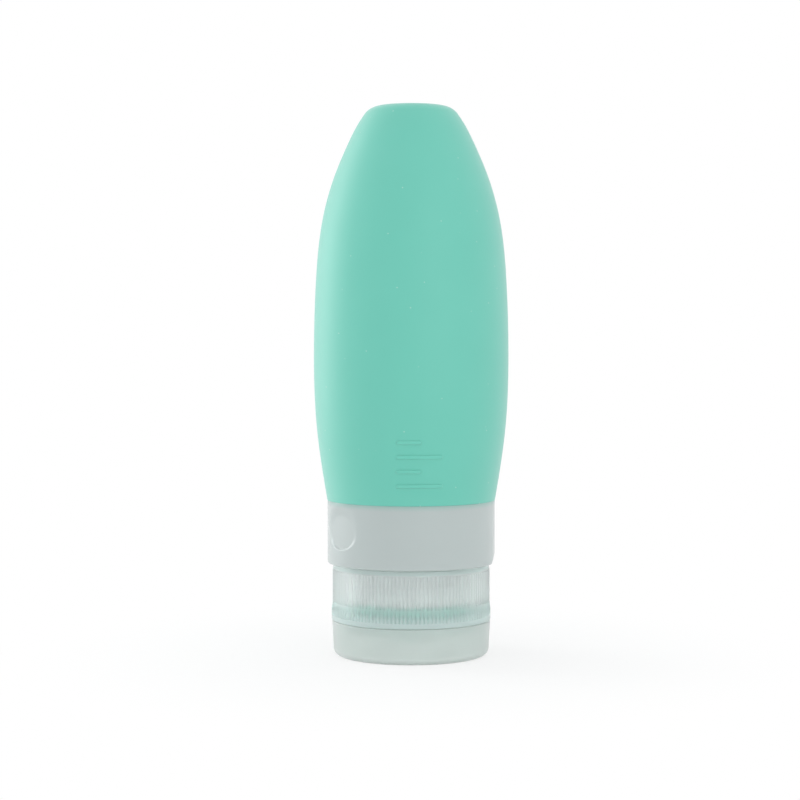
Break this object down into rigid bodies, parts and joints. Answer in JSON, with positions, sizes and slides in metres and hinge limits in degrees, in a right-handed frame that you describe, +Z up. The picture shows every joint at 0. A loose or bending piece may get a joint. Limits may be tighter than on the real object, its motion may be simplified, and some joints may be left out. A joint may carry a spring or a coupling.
{
  "type": "travel squeeze bottle",
  "caption": "Soft silicone travel bottle that stands on its flip lid, with a turning window ring and a ribbed screw cap.",
  "frame": {"origin": "centre of the closed lid's flat face, which the bottle stands on", "axes": "+Z up the bottle's own axis to the closed end of the silicone, -Y to the front with the level marks, +Y to the lid's hinge"},
  "size_m": [0.0426, 0.0426, 0.12],
  "materials": {
    "silicone": "matt soft-touch silicone, mint green",
    "collar": "natural polypropylene",
    "label": "plain film band",
    "ring": "frosted clear polypropylene",
    "cap": "frosted clear polypropylene",
    "valve": "silicone, mint green",
    "retainer": "natural polypropylene",
    "lid": "frosted clear polypropylene"
  },
  "bodies": {
    "bottle": {"squeeze_body": "silicone", "neck_collar": "collar", "label_band": "label"},
    "ring": {"window_ring": "ring"},
    "valve_set": {"drip_valve": "valve", "valve_retainer": "retainer"},
    "cap": {"screw_cap": "cap"},
    "lid": {"flip_lid": "lid"}
  },
  "joints": [
    {"name": "ring_turn", "type": "hinge", "parent": "bottle", "child": "ring", "pos_m": [0, 0, 0.0272], "axis": [0, 0, 1], "continuous": true},
    {"name": "cap_travel", "type": "slide", "parent": "bottle", "child": "valve_set", "axis": [0, 0, -1], "range_m": [0, 0.00661]},
    {"name": "cap_turn", "type": "hinge", "parent": "valve_set", "child": "cap", "pos_m": [0, 0, 0.0079], "axis": [0, 0, -1], "range_deg": [0, 792]},
    {"name": "lid_hinge", "type": "hinge", "parent": "cap", "child": "lid", "pos_m": [0, 0.01915, 0.008], "axis": [1, 0, 0], "range_deg": [0, 150]}
  ],
  "couplings": [
    {"joint": "cap_travel", "follows": "cap_turn", "m_per_rad": 0.00047746}
  ]
}
